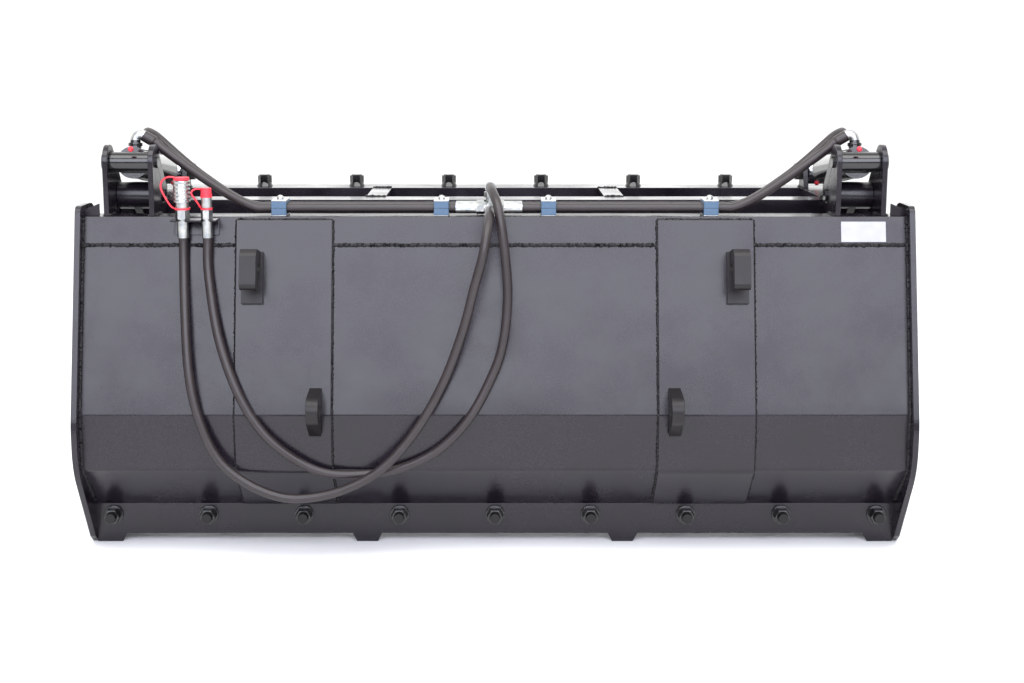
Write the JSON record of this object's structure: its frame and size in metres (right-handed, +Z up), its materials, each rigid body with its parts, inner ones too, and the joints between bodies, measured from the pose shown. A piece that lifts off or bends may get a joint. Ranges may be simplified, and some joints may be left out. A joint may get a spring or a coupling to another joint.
{
  "type": "manure grab",
  "caption": "Loader grab with a bent closed back, side plates, a row of straight lower tines, and a hydraulic claw of curved tines hinged on the top rail.",
  "frame": {"origin": "bottom centre of the bounding box, on the floor", "axes": "+X across the grab to its right seen from the loader, +Y forward along the lower tines, +Z up"},
  "size_m": [1.8, 1.013, 0.9091],
  "materials": {
    "painted_steel": "black gloss powder coat on welded sheet and tube",
    "cylinder_paint": "black gloss paint on turned tube",
    "forged_steel": "black painted forged steel",
    "pin_steel": "turned steel, lightly oiled",
    "rod_chrome": "hard chromed rod",
    "zinc_plate": "bright zinc plate",
    "clamp_plastic": "moulded light blue plastic",
    "hose_rubber": "smooth black rubber cover",
    "cap_plastic": "soft red plastic"
  },
  "bodies": {
    "rack": {"back_plate": "painted_steel", "top_rail": "painted_steel", "side_plate_left": "painted_steel", "side_plate_right": "painted_steel", "corner_gussets": "painted_steel", "tine_beam": "painted_steel", "tine_sockets": "forged_steel", "lower_tine_1": "forged_steel", "lower_tine_2": "forged_steel", "lower_tine_3": "forged_steel", "lower_tine_4": "forged_steel", "lower_tine_5": "forged_steel", "lower_tine_6": "forged_steel", "lower_tine_7": "forged_steel", "lower_tine_8": "forged_steel", "lower_tine_9": "forged_steel", "lower_tine_nuts": "forged_steel", "hitch_plate_left": "painted_steel", "hitch_plate_right": "painted_steel", "hitch_hooks": "painted_steel", "lock_eyes": "painted_steel", "bracket_plates_left": "painted_steel", "bracket_plates_right": "painted_steel", "barrel_pins": "pin_steel", "hinge_pins": "pin_steel", "hose_clamps": "clamp_plastic", "clamp_plates": "zinc_plate", "supply_tees": "zinc_plate", "hoses_left": "hose_rubber", "hoses_right": "hose_rubber", "drop_hose_a": "hose_rubber", "drop_hose_b": "hose_rubber", "coupler_large": "zinc_plate", "coupler_small": "zinc_plate", "coupler_caps": "cap_plastic", "coupler_holder": "painted_steel"},
    "claw": {"torque_tube": "painted_steel", "upper_tine_beam": "painted_steel", "claw_arms": "painted_steel", "hinge_hubs": "painted_steel", "rod_ears": "painted_steel", "upper_tine_1": "forged_steel", "upper_tine_2": "forged_steel", "upper_tine_3": "forged_steel", "upper_tine_4": "forged_steel", "upper_tine_5": "forged_steel", "upper_tine_6": "forged_steel", "upper_tine_7": "forged_steel", "upper_tine_8": "forged_steel", "upper_tine_nuts": "forged_steel", "rod_pins": "pin_steel"},
    "cylinder_left": {"barrel_left": "cylinder_paint", "gland_left": "cylinder_paint", "port_fittings_left": "zinc_plate"},
    "cylinder_right": {"barrel_right": "cylinder_paint", "gland_right": "cylinder_paint", "port_fittings_right": "zinc_plate"},
    "piston_left": {"rod_left": "rod_chrome"},
    "piston_right": {"rod_right": "rod_chrome"},
    "sleeve": {"coupler_sleeve": "zinc_plate"}
  },
  "joints": [
    {"name": "claw_hinge", "type": "hinge", "parent": "rack", "child": "claw", "pos_m": [0, -0.20744, 0.764], "axis": [1, 0, 0], "range_deg": [0, 55]},
    {"name": "cylinder_left_hinge", "type": "hinge", "parent": "rack", "child": "cylinder_left", "pos_m": [-0.79, -0.27244, 0.842], "axis": [1, 0, 0], "range_deg": [0, 50], "deforming": ["hoses_left"]},
    {"name": "cylinder_right_hinge", "type": "hinge", "parent": "rack", "child": "cylinder_right", "pos_m": [0.79, -0.27244, 0.842], "axis": [1, 0, 0], "range_deg": [0, 50], "deforming": ["hoses_right"]},
    {"name": "piston_left_slide", "type": "slide", "parent": "cylinder_left", "child": "piston_left", "axis": [0, 0.9928, -0.1196], "range_m": [-0.086, 0]},
    {"name": "piston_right_slide", "type": "slide", "parent": "cylinder_right", "child": "piston_right", "axis": [0, 0.9928, -0.1196], "range_m": [-0.086, 0]},
    {"name": "sleeve_slide", "type": "slide", "parent": "rack", "child": "sleeve", "axis": [0, 0, -1], "range_m": [0, 0.006], "stiffness_N_per_m": 3000, "springref_m": -0.004}
  ],
  "couplings": [
    {"joint": "cylinder_left_hinge", "follows": "claw_hinge", "ratio": 0.8996},
    {"joint": "cylinder_right_hinge", "follows": "claw_hinge", "ratio": 0.8996},
    {"joint": "piston_left_slide", "follows": "claw_hinge", "m_per_rad": -0.08826},
    {"joint": "piston_right_slide", "follows": "claw_hinge", "m_per_rad": -0.08826}
  ]
}
